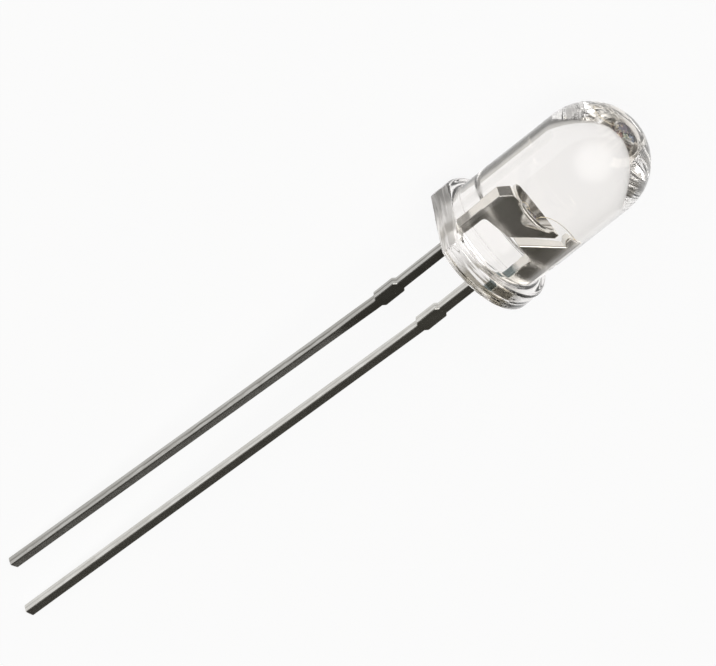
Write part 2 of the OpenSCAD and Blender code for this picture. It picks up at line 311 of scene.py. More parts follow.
class Shape:
    """Collects rings and faces of one piece, in upright millimetres."""

    def __init__(self):
        self.points = []
        self.faces = []
        self.marks = []

    def add(self, points, faces, mark=0):
        first = len(self.points)
        self.points += [tuple(p) for p in points]
        self.faces += [[first + i for i in face] for face in faces]
        self.marks += [mark] * len(faces)

    def rings(self, rings, start=None, end=None, mark=0):
        """A skin through closed rings of equally many points, closed by a point or a flat face."""
        count = len(rings[0])
        points = [p for ring in rings for p in ring]
        faces = []
        for i in range(len(rings) - 1):
            for j in range(count):
                k = (j + 1) % count
                a, b = i * count, (i + 1) * count
                faces.append((a + j, a + k, b + k, b + j))
        for row, pole in ((0, start), (len(rings) - 1, end)):
            a = row * count
            if pole is None:
                faces.append(tuple(range(a, a + count)))
                continue
            points.append(pole)
            tip = len(points) - 1
            faces += [(a + j, a + (j + 1) % count, tip) for j in range(count)]
        self.add(points, faces, mark)

    def build(self, name):
        mesh = bpy.data.meshes.new(name)
        mesh.from_pydata(self.points, [], self.faces)
        mesh.polygons.foreach_set("material_index", self.marks)
        work = bmesh.new()
        work.from_mesh(mesh)
        bmesh.ops.recalc_face_normals(work, faces=work.faces[:])
        work.to_mesh(mesh)
        work.free()
        piece = bpy.data.objects.new(name, mesh)
        bpy.context.scene.collection.objects.link(piece)
        return piece


def apply_modifiers(piece):
    """Turns what the modifiers make of a piece into its mesh."""
    graph = bpy.context.evaluated_depsgraph_get()
    made = bpy.data.meshes.new_from_object(piece.evaluated_get(graph))
    piece.modifiers.clear()
    piece.data = made


def combine(piece, tool, operation):
    """Joins tool to piece, or cuts it out of piece, and removes tool."""
    cut = piece.modifiers.new("cut", "BOOLEAN")
    cut.operation = operation
    cut.solver = "EXACT"
    cut.object = tool
    apply_modifiers(piece)
    bpy.data.objects.remove(tool)


def finish_piece(piece, node, materials, sharp_angle=40, weighted=False):
    """Gives a piece its upright coordinates, its place in the row, its finish and its body."""
    mesh = piece.data
    mesh.shade_smooth()
    mesh.set_sharp_from_angle(angle=math.radians(sharp_angle))
    if weighted:
        normals = piece.modifiers.new("normals", "WEIGHTED_NORMAL")
        normals.keep_sharp = True
        apply_modifiers(piece)
        mesh = piece.data
    upright = mesh.attributes.new("upright", "FLOAT_VECTOR", "POINT")
    places = np.zeros(len(mesh.vertices) * 3, np.float32)
    mesh.vertices.foreach_get("co", places)
    upright.data.foreach_set("vector", places)
    mesh.transform(TO_ROW)
    mesh.materials.clear()
    for material in materials:
        mesh.materials.append(material)
    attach(piece, "root")
    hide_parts(node)
    return piece


def rounded(corners):
    """Outline through corners of (x, z, radius), each rounded by an arc."""
    points = []
    count = len(corners)
    for i, (x, z, radius) in enumerate(corners):
        here = Vector((x, z))
        before = (Vector(corners[i - 1][:2]) - here).normalized()
        after = (Vector(corners[(i + 1) % count][:2]) - here).normalized()
        if radius == 0:
            points.append(here)
            continue
        half = before.angle(after) / 2
        centre = here + (before + after).normalized() * radius / math.sin(half)
        start = here + before * radius / math.tan(half) - centre
        end = here + after * radius / math.tan(half) - centre
        turn = start.angle_signed(end)
        steps = max(2, round(abs(turn) / math.radians(12)))
        for k in range(steps + 1):
            points.append(centre + Matrix.Rotation(-turn * k / steps, 2) @ start)
    return points


def inward(outline):
    """For each corner of an outline, how it moves when every edge moves inwards by one."""
    ways = []
    count = len(outline)
    for i, here in enumerate(outline):
        before = (here - outline[i - 1]).normalized()
        after = (outline[(i + 1) % count] - here).normalized()
        one, two = Vector((-before.y, before.x)), Vector((-after.y, after.x))
        ways.append((one + two) / (1 + one.dot(two)))
    return ways


def with_crossings(outline, ways, cuts):
    """Adds a corner wherever a cut crosses the outline of the flat face."""
    found = []
    count = len(outline)
    for i in range(count):
        k = (i + 1) % count
        found.append((outline[i], ways[i]))
        a = outline[i] + ways[i] * EDGE_ROUND
        b = outline[k] + ways[k] * EDGE_ROUND
        shares = []
        for z, slope in cuts:
            high_a = a.y - z - slope * a.x
            high_b = b.y - z - slope * b.x
            if high_a * high_b < 0:
                shares.append(high_a / (high_a - high_b))
        for t in sorted(shares):
            found.append((outline[i].lerp(outline[k], t), ways[i].lerp(ways[k], t)))
    return found


def slab(name, outline, cuts, shape_point):
    """A round edged plate from an outline in X and Z, cut by (height, slope).

    shape_point(x, z, side, below) places a point that lies below the plate's face by below.
    """
    ring = with_crossings(outline, inward(outline), cuts)
    count = len(ring)
    sheet = bmesh.new()
    corners = [sheet.verts.new((p.x + w.x * EDGE_ROUND, 0, p.y + w.y * EDGE_ROUND)) for p, w in ring]
    sheet.faces.new(corners)
    for z, slope in cuts:
        everything = sheet.verts[:] + sheet.edges[:] + sheet.faces[:]
        plane = {"plane_co": (0, 0, z), "plane_no": (-slope, 0, 1)}
        bmesh.ops.bisect_plane(sheet, geom=everything, dist=0.0001, **plane)
    sheet.verts.index_update()
    flat = [(v.co.x, v.co.z) for v in sheet.verts]
    flat_faces = [[v.index for v in f.verts] for f in sheet.faces]
    sheet.free()
    body = Shape()
    points = []
    faces = []
    across = []
    for side in (-1, 1):
        first = len(points)
        for k in range(EDGE_STEPS):
            a = math.radians(90 * k / EDGE_STEPS)
            inset = EDGE_ROUND * (1 - math.cos(a))
            below = EDGE_ROUND * (1 - math.sin(a))
            points += [shape_point(p.x + w.x * inset, p.y + w.y * inset, side, below) for p, w in ring]
            across += [side * (LEAD_T / 2 - below)] * count
            low = first + k * count
            pairs = [(i, (i + 1) % count) for i in range(count)]
            faces += [(low + i, low + j, low + count + j, low + count + i) for i, j in pairs]
        face_first = len(points)
        points += [shape_point(x, z, side, 0) for x, z in flat]
        across += [side * LEAD_T / 2] * len(flat)
        faces += [[face_first + i for i in face] for face in flat_faces]
    other = len(points) // 2
    faces += [(i, (i + 1) % count, other + (i + 1) % count, other + i) for i in range(count)]
    body.add(points, faces)
    piece = body.build(name)
    piece.data.attributes.new("across", "FLOAT", "POINT").data.foreach_set("value", across)
    return piece


def slit_z_at(x):
    """Height of the anvil's side of the slit."""
    return LEG_TOP + (x - SLIT_X) * math.tan(SLIT_SLOPE)


def cathode_frame():
    """Short lead, anvil and reflector cup."""
    lead = Lead(-LEAD_X, CATHODE_LOW[2], CATHODE_BEND, CATHODE_TWIST)
    inner = -LEAD_X + LEAD_W / 2
    outer = -LEAD_X - LEAD_W / 2
    top = [
        (inner, WINDOW_Z, WINDOW_ROUND),
        (SLIT_X, LEG_TOP, SLIT_FOOT_ROUND),
        (ANVIL_EDGE, slit_z_at(ANVIL_EDGE), CORNER),
        (ANVIL_EDGE, ANVIL_Z, CORNER),
        (outer + SHOULDER_W, ANVIL_Z, CORNER),
        (outer, ANVIL_Z - SHOULDER_H, CORNER),
    ]
    outline = rounded(lead.corners(1) + top + lead.corners(-1)[::-1])

    def shape_point(x, z, side, below):
        return lead.bent(x, side * (lead.half_thickness(x, z) - below), z)

    piece = slab("cathode_frame", outline, lead.cuts(), shape_point)
    combine(piece, cup_head(), "UNION")
    combine(piece, cup_hollow(), "DIFFERENCE")
    return piece


def anode_frame():
    """Long lead and the post that takes the supply wire."""
    swell = (POST_SWELL_DROP, POST_SWELL_SLOPE)
    lead = Lead(LEAD_X, ANODE_LOW[2], ANODE_BEND, ANODE_TWIST, *swell)
    inner = LEAD_X - LEAD_W / 2
    outer = LEAD_X + LEAD_W / 2
    land_x = outer - LAND_W
    neck_x = outer - NECK_W
    top = [
        (outer, POST_Z, CORNER),
        (land_x, POST_Z, CORNER),
        (land_x, POST_Z - HEAD_H, CORNER),
        (neck_x, slit_z_at(neck_x - SLIT_W), NECK_ROUND),
        (SLIT_X + SLIT_W, LEG_TOP, CORNER),
        (inner, WINDOW_Z, WINDOW_ROUND),
    ]
    outline = rounded(lead.corners(1) + top + lead.corners(-1)[::-1])

    def shape_point(x, z, side, below):
        y = side * (lead.half_thickness(x, z) - below)
        lean = LAND_LEAN * max(z - POST_Z + LAND_H, 0) / LAND_H
        return lead.bent(x, y + (lean if side < 0 else 0), z)

    return slab("anode_frame", outline, lead.cuts() + [(POST_Z - LAND_H, 0)], shape_point)


def circle_ring(radius, z, x=0.0, y=0.0, count=160):
    """Points of a level circle."""
    turns = [2 * math.pi * k / count for k in range(count)]
    return [(x + radius * math.cos(a), y + radius * math.sin(a), z) for a in turns]


def cup_top():
    """Height of the cup's rim."""
    return ANVIL_Z + CUP_PROUD


def cup_radius():
    """Radius of the cup's mouth."""
    return CUP_FLOOR_R + CUP_SPREAD


def cup_head():
    """Round head of the cup, still without its hollow."""
    head_r = cup_radius() + CUP_RIM
    depth = cup_top() - cup_floor_z()
    point = head_r * (depth - CUP_BAND) / (head_r - CUP_FLOOR_R - CUP_WALL)
    profile = [(head_r * k / 8, -CUP_BAND - point * (1 - k / 8)) for k in range(1, 9)]
    for k in range(5):
        a = math.radians(22.5 * k)
        radius = head_r - CUP_RIM_ROUND * (1 - math.cos(a))
        profile.append((radius, -CUP_RIM_ROUND * (1 - math.sin(a))))
    head = Shape()
    rings = [circle_ring(r, cup_top() + z, CUP_X) for r, z in profile]
    head.rings(rings, start=(CUP_X, 0, cup_top() - CUP_BAND - point))
    return head.build("cup_head")


def cup_floor_z():
    """Height of the cup's floor, on which the adhesive lies."""
    return upright_box("driver_paste")[0][2]


def cup_hollow():
    """What is cut out of the head: a polished cone with a rounded foot and lip."""
    depth = cup_top() - cup_floor_z()
    lean = math.atan2(CUP_SPREAD, depth)
    foot, lip = CUP_FOOT_ROUND, CUP_LIP
    profile = [(CUP_FLOOR_R - foot, -depth)]
    for k in range(1, 5):
        a = (math.pi / 2 - lean) * k / 4
        profile.append((CUP_FLOOR_R - foot + foot * math.sin(a), -depth + foot * (1 - math.cos(a))))
    profile.append((cup_radius() - lip * math.tan(lean), -lip))
    profile.append((cup_radius() + lip * 0.3, -lip * 0.3))
    profile.append((cup_radius() + lip, 0))
    profile.append((cup_radius() + lip, 0.4))
    hollow = Shape()
    hollow.rings([circle_ring(r, cup_top() + z, CUP_X) for r, z in profile])
    return hollow.build("cup_hollow")


def soft_min(a, b, width):
    """Lower of two values, with a rounded change from one to the other."""
    low = np.minimum(a, b)
    return low - width * np.log(np.exp((low - a) / width) + np.exp((low - b) / width))


def lens_angles():
    """Angles of the lens grid, closer together at the two ends of the flat."""
    corner = math.degrees(math.acos(FLAT_X / FLANGE_R))
    close = [180 + s * (corner + d) for s in (-1, 1) for d in np.arange(-2.5, 2.6, 0.25)]
    return np.radians(np.unique(np.round(np.concatenate([np.arange(0, 360, 1.0), close]), 3)))


def resin_level(x, y):
    """Height of the underside: a dip between the leads, and resin that climbs each lead."""
    bow_r = (DIP_R**2 + DIP_H**2) / (2 * DIP_H)
    from_axis = np.hypot(x, y)
    dip = np.sqrt(np.maximum(bow_r**2 - from_axis**2, 0)) - (bow_r - DIP_H)
    level = np.where(from_axis < DIP_R, dip, 0)
    for lead in (-LEAD_X, LEAD_X):
        out_x = np.maximum(np.abs(x - lead) - LEAD_W / 2, 0)
        out_y = np.maximum(np.abs(y) - LEAD_T / 2, 0)
        level = level - MENISCUS_H * np.exp(-np.hypot(out_x, out_y) / MENISCUS_W)
    return level


def shrink_rings(turn, from_wall):
    """Ripples that the shrinking resin leaves on the underside, fading away from the wall."""
    drift = 0.12 * np.sin(turn * 2 + 1.0) + 0.07 * np.sin(turn * 5)
    strength = SHRINK_MEAN - SHRINK_LEAN * np.sin(turn)
    fade = np.clip(1 - from_wall / SHRINK_REACH, 0, 1) * np.clip(from_wall / 0.1, 0, 1)
    return SHRINK_H * strength * fade * np.sin(2 * math.pi * (from_wall / SHRINK_GAP + drift))


def lens_rings(turn):
    """Rings of (radius, z) from the middle of the underside to just below the dome's top."""
    from_flat = np.maximum(-np.cos(turn), 1e-3)
    wall = soft_min(np.full_like(turn, FLANGE_R), FLAT_X / from_flat, FLAT_CORNER)
    top_round = np.minimum(RIM_ROUND, (wall - BARREL_R) * TOP_ROUND_SHARE)
    root = np.minimum(ROOT_ROUND, (wall - BARREL_R) * ROOT_ROUND_SHARE)
    low_round = np.minimum(LOW_ROUND, top_round)
    level = np.zeros_like(turn)
    rings = []
    for share in np.linspace(0, 1, 73)[1:]:
        radius = share * (wall - low_round)
        from_wall = wall - low_round - radius
        belly = BELLY_H * (1 - np.exp(-from_wall / BELLY_W)) + shrink_rings(turn, from_wall)
        rings.append((radius, belly + resin_level(radius * np.cos(turn), radius * np.sin(turn))))
    for a in np.radians(np.linspace(0, 90, 8)[1:]):
        rings.append((wall - low_round * (1 - np.sin(a)), low_round * (1 - np.cos(a))))
    for share in (0.25, 0.5, 0.75):
        low, high = low_round, FLANGE_H - top_round
        rings.append((wall, low + (high - low) * share))
    for a in np.radians(np.linspace(0, 90, 8)):
        rings.append((wall - top_round * (1 - np.cos(a)), FLANGE_H - top_round * (1 - np.sin(a))))
    for share in (0.33, 0.66):
        inner = BARREL_R + root
        rings.append((wall - top_round + (inner - wall + top_round) * share, level + FLANGE_H))
    for a in np.radians(np.linspace(0, 90, 10)):
        radius = BARREL_R + root * (1 - np.sin(a))
        rings.append((radius, FLANGE_H + root * (1 - np.cos(a))))
    for share in np.linspace(0, 1, 22)[1:-1]:
        low = FLANGE_H + root
        rings.append((level + BARREL_R, low + (DOME_Z - low) * share))
    for a in np.radians(np.linspace(0, 90, 65)[:-1]):
        rings.append((level + BARREL_R * np.cos(a), level + DOME_Z + (BARREL_R - TIP_SHY) * np.sin(a)))
    return rings


def lens():
    """The resin's outer skin: underside, flange with its flat, barrel and dome."""
    turn = lens_angles()
    rings = []
    for radius, z in lens_rings(turn):
        columns = (radius * np.cos(turn), radius * np.sin(turn), z)
        rings.append([tuple(float(c) for c in p) for p in zip(*columns)])
    body = Shape()
    body.rings(rings, start=(0, 0, BELLY_H + DIP_H), end=(0, 0, DOME_Z + BARREL_R - TIP_SHY))
    return body.build("clear_lens")


def block_rings(low, high, corner, edge):
    """Rings of a block with rounded upright corners and a soft top edge."""
    centre = (low + high) / 2
    half = (high - low) / 2
    rings = []
    for inset, z in ((edge * 0.6, low[2]), (0, low[2] + edge), (0, high[2] - edge), (edge, high[2])):
        ring = []
        for sx, sy, start in ((1, 1, 0), (-1, 1, 90), (-1, -1, 180), (1, -1, 270)):
            for k in range(5):
                a = math.radians(start + 22.5 * k)
                reach = corner - inset * 0.5
                x = centre[0] + sx * (half[0] - corner) + (reach - inset * 0.5) * math.cos(a)
                y = centre[1] + sy * (half[1] - corner) + (reach - inset * 0.5) * math.sin(a)
                ring.append((x, y, z))
        rings.append(ring)
    return rings


def pad(shape, x, y, z, radius, mark):
    """Adds a thin round bond pad to a shape."""
    rings = [circle_ring(radius, z, x, y, 24), circle_ring(radius * 0.92, z + 0.002, x, y, 24)]
    shape.rings(rings, mark=mark)


def chip(node, pads, lines):
    """A chip with its bond pads and the thin metal lines on its top."""
    low, high = upright_box(node)
    shape = Shape()
    shape.rings(block_rings(low, high, 0.008, 0.005))
    for x, y, radius in pads:
        pad(shape, x, y, high[2], radius, 1)
    for line_low, line_high in lines:
        bar_low = np.array([*line_low, high[2] - 0.001])
        bar_high = np.array([*line_high, high[2] + 0.0015])
        shape.rings(block_rings(bar_low, bar_high, 0.003, 0.0008), mark=1)
    return shape.build(node + "_top")


def paste(node, chip_node, seed):
    """Cured adhesive: an uneven foot that climbs the chip's sides a little."""
    low, high = upright_box(node)
    chip_low, chip_high = upright_box(chip_node)
    centre = (low + high) / 2
    half = (high - low) / 2
    chip_half = (chip_high - chip_low) / 2
    count = 96
    rings = []
    for share, z_share in ((1.0, 0.0), (0.96, 0.35), (0.8, 0.7), (0.55, 0.95), (0.3, 1.25), (0.05, 1.8)):
        ring = []
        for k in range(count):
            a = 2 * math.pi * k / count
            c, s = math.cos(a), math.sin(a)
            square = (abs(c) ** 6 + abs(s) ** 6) ** (-1 / 6)
            wave = noise.noise(Vector((c * 3, s * 3, seed))) * 0.012 * share
            out = chip_half[:2] + (half[:2] - chip_half[:2]) * share
            x = centre[0] + c * square * (out[0] + wave)
            y = centre[1] + s * square * (out[1] + wave)
            ring.append((x, y, low[2] + (high[2] - low[2]) * z_share))
        rings.append(ring)
    shape = Shape()
    shape.rings(rings)
    return shape.build(node + "_fillet")


def bow_points(start, end, bow, steps):
    """Points on the arc from start to end that rises bow above its chord."""
    chord = end - start
    length = chord.length
    radius = ((length / 2) ** 2 + bow**2) / (2 * bow)
    half = math.asin(length / 2 / radius)
    along = chord.normalized()
    level = Vector((chord.x, chord.y, 0)).normalized()
    up = (Vector((0, 0, 1)) - along * along.z).normalized()
    centre = start + along * length / 2 + up * (bow - radius)
    points = []
    for k in range(steps + 1):
        a = -half + 2 * half * k / steps
        points.append(centre + (along * math.sin(a) + up * math.cos(a)) * radius)
    return points, level


def bond_wire(name, start, end, bow):
    """A ball bond, the looped wire and a wedge bond, swept as one skin."""
    first = Vector(start)
    last = Vector(end)
    arc, level = bow_points(first + Vector((0, 0, BALL_H)), last + Vector((0, 0, WIRE_D / 2)), bow, 36)
    path = []
    for k in range(9):
        a = math.pi * k / 8
        radius = max(BALL_D / 2 * math.sin(a), 0.004) if k < 7 else WIRE_D * 0.56
        path.append((first + Vector((0, 0, BALL_H * (1 - math.cos(a)) / 2)), radius, radius))
    path += [(p, WIRE_D / 2, WIRE_D / 2) for p in arc[2:-3]]
    foot = arc[-3]
    for share in (0.35, 0.7, 1.0):
        at = foot.lerp(last + Vector((0, 0, FOOT_H * 0.3)), share)
        wide = WIRE_D / 2 + (FOOT_D / 2 - WIRE_D / 2) * share
        path.append((at, wide, WIRE_D / 2 + (FOOT_H * 0.3 - WIRE_D / 2) * share))
    path.append((last + level * FOOT_D * 0.4 + Vector((0, 0, 0.006)), FOOT_D * 0.3, 0.005))
    side = Vector((0, 0, 1)).cross(level)
    rings = []
    for i, (at, wide, tall) in enumerate(path):
        before = path[max(i - 1, 0)][0]
        after = path[min(i + 1, len(path) - 1)][0]
        way = (after - before).normalized()
        if i < 8:
            way = Vector((0, 0, 1))
        up = way.cross(side).normalized() * -1
        ring = []
        for k in range(16):
            a = 2 * math.pi * k / 16
            ring.append(tuple(at + side * wide * math.cos(a) + up * tall * math.sin(a)))
        rings.append(ring)
    shape = Shape()
    shape.rings(rings)
    return shape.build(name)


class Nodes:
    """Short calls that add nodes to a node tree."""

    def __init__(self, tree):
        self.tree = tree

    def node(self, kind, inputs=None, **settings):
        made = self.tree.nodes.new(kind)
        for name, value in settings.items():
            setattr(made, name, value)
        for name, value in (inputs or {}).items():
            if isinstance(value, bpy.types.NodeSocket):
                self.tree.links.new(value, made.inputs[name])
            else:
                made.inputs[name].default_value = value
        return made

    def span(self, value, low, high, to_low=0.0, to_high=1.0, ease="LINEAR"):
        """Maps low..high of value to to_low..to_high, and stops at both ends."""
        inputs = {"Value": value, "From Min": low, "From Max": high, "To Min": to_low, "To Max": to_high}
        return self.node("ShaderNodeMapRange", inputs, interpolation_type=ease).outputs["Result"]

    def blend(self, share, a, b):
        """Mixes two colours by share."""
        made = self.node("ShaderNodeMix", data_type="RGBA")
        for socket, value in zip((made.inputs[0], made.inputs[6], made.inputs[7]), (share, a, b)):
            if isinstance(value, bpy.types.NodeSocket):
                self.tree.links.new(value, socket)
            else:
                socket.default_value = value
        return made.outputs[2]

    def calc(self, operation, a, b):
        """One step of arithmetic."""
        return self.node("ShaderNodeMath", {0: a, 1: b}, operation=operation).outputs[0]


class Paint(Nodes):
    """A node material with a Principled shader on the upright coordinates."""

    def __init__(self, name):
        self.material = bpy.data.materials.new(name)
        self.material.use_nodes = True
        super().__init__(self.material.node_tree)
        self.shader = self.tree.nodes["Principled BSDF"]
        self.place = self.node("ShaderNodeAttribute", attribute_name="upright").outputs["Vector"]

    def set(self, **values):
        for name, value in values.items():
            socket = self.shader.inputs[name.replace("_", " ")]
            if isinstance(value, bpy.types.NodeSocket):
                self.tree.links.new(value, socket)
            else:
                socket.default_value = value

    def scaled(self, scale):
        return self.node("ShaderNodeMapping", {"Vector": self.place, "Scale": scale}).outputs[0]

    def noise(self, scale, detail=3.0, rough=0.5, stretch=(1, 1, 1)):
        inputs = {"Vector": self.scaled(stretch), "Scale": scale, "Detail": detail, "Roughness": rough}
        return self.node("ShaderNodeTexNoise", inputs).outputs["Fac"]

    def split(self):
        return self.node("ShaderNodeSeparateXYZ", {0: self.place}).outputs

    def bump(self, height, depth_mm):
        made = self.node("ShaderNodeBump", {"Height": height, "Distance": depth_mm * MM})
        self.set(Normal=made.outputs[0])


def cup_shade(paint, x, y, height):
    """Share of painted shade: dark streaks up the cup's inner wall and across its floor, for the dark
    that the polished hollow reflects.
    """
    depth = cup_top() - cup_floor_z()
    across = paint.calc("SUBTRACT", x, CUP_X)
    flat = paint.node("ShaderNodeCombineXYZ", {0: across, 1: y, 2: 0.0}).outputs[0]
    radius = paint.node("ShaderNodeVectorMath", {0: flat}, operation="LENGTH").outputs["Value"]
    wall = paint.span(height, cup_floor_z(), cup_top(), CUP_FLOOR_R, cup_radius())
    inside = paint.span(paint.calc("SUBTRACT", radius, wall), 0.035, 0.02)
    above = paint.span(height, cup_floor_z() - 0.03, cup_floor_z() - 0.01)
    inside = paint.calc("MULTIPLY", inside, above)
    way = paint.node("ShaderNodeVectorMath", {0: flat}, operation="NORMALIZE").outputs[0]
    inputs = {"Vector": way, "Scale": 3.2, "Detail": 4.0, "Roughness": 0.65}
    streaks = paint.node("ShaderNodeTexNoise", inputs).outputs["Fac"]
    return paint.calc("MULTIPLY", inside, paint.span(streaks, 0.42, 0.58, 1, 0.1))


def plated_steel(name, painted_brightness, shear, shaded_x=None):
    """Silver plated strip: bright and smooth inside the resin, handled and duller outside.

    The second argument scales how bright the strip is outside the resin. The two leads get a darker and a
    lighter copy of one finish: painted shade and painted light for the darker and lighter reflections on
    their sides. shear sets how dark the line is that the stamping left along its cut edges. A strip whose
    left edge is given as the last argument gets a dark patch of painted shade on its foot by the flange,
    where the flange shades it.
    """
    paint = Paint(name)

    # outer scales a colour by the brightness factor: painted shade on the short lead, painted light on
    # the long lead
    def outer(*colour):
        return (*(channel * painted_brightness for channel in colour), 1)

    x, y, height = paint.split()
    outside = paint.span(height, 0.1, -0.3)
    streaks = paint.noise(9.0, 4.0, 0.6, (1, 1, 0.05))
    fine = paint.noise(60.0, 3.0, 0.6, (1, 1, 0.06))
    clouds = paint.noise(1.6, 3.0, 0.5)
    grain = paint.noise(45.0, 2.0, 0.5)
    bright = paint.blend(paint.span(clouds, 0.35, 0.65), (0.86, 0.83, 0.78, 1), (0.8, 0.78, 0.73, 1))
    worn_and_painted = paint.blend(paint.span(clouds, 0.35, 0.65), outer(0.72, 0.71, 0.68), outer(0.62, 0.61, 0.58))
    worn_and_painted = paint.blend(paint.span(streaks, 0.42, 0.62, 0, 0.4), worn_and_painted, outer(0.4, 0.38, 0.34))
    # painted shade: dark streaks in the cup's hollow
    bright = paint.blend(cup_shade(paint, x, y, height), bright, CUP_PAINTED_SHADE)
    across = paint.node("ShaderNodeAttribute", attribute_name="across").outputs["Fac"]
    across = paint.calc("ADD", across, paint.span(clouds, 0.3, 0.7, -0.02, 0.02))
    line = paint.calc("MULTIPLY", paint.span(across, -0.05, -0.01), paint.span(across, 0.07, 0.03))
    line = paint.calc("MULTIPLY", line, paint.span(streaks, 0.35, 0.55, shear, shear * 0.5))
    worn_and_painted = paint.blend(line, worn_and_painted, outer(0.2, 0.19, 0.165))
    colour = paint.blend(outside, bright, worn_and_painted)
    # painted shade: a dark teal patch on the strip's inner edge by the flange, where the flange shades it
    if shaded_x is not None:
        edge = paint.span(x, shaded_x + 0.05, shaded_x + 0.01)
        foot = paint.calc("MULTIPLY", paint.span(height, 0.2, 0.35), paint.span(height, 1.15, 0.8))
        painted_shade = paint.calc("MULTIPLY", edge, foot)
        painted_shade = paint.calc("MULTIPLY", painted_shade, paint.span(grain, 0.3, 0.5, 0.6, 1))
        colour = paint.blend(painted_shade, colour, PAINTED_FOOT_SHADE)
    rough = paint.span(streaks, 0.3, 0.7, 0.12, 0.18)
    rough = paint.calc("ADD", rough, paint.calc("MULTIPLY", outside, 0.12))
    paint.set(Base_Color=colour, Roughness=rough, Metallic=1.0)
    relief = paint.calc("ADD", fine, paint.calc("MULTIPLY", grain, 0.4))
    paint.bump(paint.calc("MULTIPLY", relief, paint.span(outside, 0, 1, 0.25, 1.0)), 0.0022)
    return paint.material


def clear_epoxy():
    """Water clear resin with faint flow marks and dust, a frosted flat and dark brown lines of painted
    shade.

    The lines stand in for the dark lines that refraction in the wall shows. They run over the front of
    the flange's wall and, at half strength, over the flat.
    """
    paint = Paint("clear_epoxy")
    flow = paint.noise(0.9, 3.0, 0.5, (1, 1, 0.6))
    dust = paint.noise(14.0, 4.0, 0.6)
    colour = paint.blend(paint.span(flow, 0.3, 0.7), (0.995, 0.974, 0.952, 1), (0.985, 0.964, 0.95, 1))
    rough = paint.span(dust, 0.5, 0.8, 0.02, 0.05)
    x, y, z = paint.split()
    squares = [paint.calc("MULTIPLY", part, part) for part in (x, y)]
    off_axis = paint.calc("SQRT", paint.calc("ADD", *squares), 0)
    rim = paint.calc("MULTIPLY", paint.span(off_axis, 2.3, 2.6), paint.span(z, 1.1, 0.95))
    flat = paint.span(x, 0.04 - FLAT_X, 0.01 - FLAT_X)
    rough = paint.calc("ADD", rough, paint.calc("MULTIPLY", rim, RIM_HAZE))
    rough = paint.calc("ADD", rough, paint.calc("MULTIPLY", flat, FLAT_HAZE))
    clear = paint.span(flat, 0, 1, RESIN_CLEAR, FLAT_CLEAR)
    bands = paint.noise(1.0, 3.0, 0.55, (0.45, 0.45, 5.5))
    # painted shade: dark lines on the front of the flange's wall and, at half strength, on the flat
    lines = paint.calc("MULTIPLY", paint.span(bands, *PAINTED_LINE_BANDS), rim)
    front = paint.calc("MULTIPLY", paint.span(y, -1.9, -2.5), paint.span(x, 1.5, 0.5))
    lines = paint.calc("MULTIPLY", lines, paint.calc("MAXIMUM", front, paint.calc("MULTIPLY", flat, 0.5)))
    colour = paint.blend(lines, colour, PAINTED_LINE_TINT)
    paint.set(Base_Color=colour, Roughness=rough, IOR=RESIN_IOR, Transmission_Weight=clear)
    paint.bump(flow, 0.004)
    return paint.material


def silicon():
    """Driver die: grey violet silicon with blocks of fine circuitry."""
    paint = Paint("driver_silicon")
    inputs = {"Vector": paint.scaled((1, 1, 0)), "Scale": 32.0}
    blocks = paint.node("ShaderNodeTexVoronoi", inputs, distance="CHEBYCHEV").outputs["Color"]
    tone = paint.node("ShaderNodeSeparateColor", {0: blocks}).outputs[0]
    film = paint.noise(12.0, 2.0, 0.5)
    colour = paint.blend(paint.span(tone, 0.2, 0.8), (0.16, 0.15, 0.24, 1), (0.3, 0.34, 0.32, 1))
    colour = paint.blend(paint.span(film, 0.45, 0.6), colour, (0.3, 0.22, 0.3, 1))
    paint.set(Base_Color=colour, Roughness=paint.span(tone, 0, 1, 0.12, 0.3), Metallic=0.6)
    paint.bump(tone, 0.001)
    return paint.material


def crystal(name, light, deep):
    """Light emitting die: tinted crystal with sawn, frosted sides."""
    paint = Paint(name)
    saw = paint.noise(80.0, 3.0, 0.6, (1, 1, 0.1))
    cloud = paint.noise(14.0, 2.0, 0.5)
    colour = paint.blend(paint.span(cloud, 0.35, 0.65), light, deep)
    paint.set(Base_Color=colour, Roughness=paint.span(saw, 0.3, 0.7, 0.15, 0.4), IOR=CRYSTAL_IOR)
    paint.set(Coat_Weight=0.5)
    paint.bump(saw, 0.0015)
    return paint.material


def silver_paste():
    """Cured silver filled adhesive: matt flakes in a pale resin."""
    paint = Paint("silver_paste")
    flakes = paint.noise(160.0, 3.0, 0.7)
    cloud = paint.noise(20.0, 2.0, 0.5)
    colour = paint.blend(paint.span(flakes, 0.4, 0.6), (0.5, 0.49, 0.47, 1), (0.74, 0.73, 0.7, 1))
    paint.set(Base_Color=colour, Roughness=paint.span(cloud, 0.3, 0.7, 0.4, 0.6), Metallic=0.7)
    paint.bump(flakes, 0.004)
    return paint.material


def gold(name):
    """Drawn gold: soft die lines along the wire and a slightly dimpled skin."""
    paint = Paint(name)
    lines = paint.noise(120.0, 2.0, 0.5)
    tone = paint.noise(18.0, 2.0, 0.5)
    colour = paint.blend(paint.span(tone, 0.35, 0.65), (0.93, 0.85, 0.68, 1), (0.88, 0.79, 0.6, 1))
    paint.set(Base_Color=colour, Roughness=paint.span(lines, 0.3, 0.7, 0.14, 0.26), Metallic=1.0)
    paint.bump(lines, 0.0008)
    return paint.material


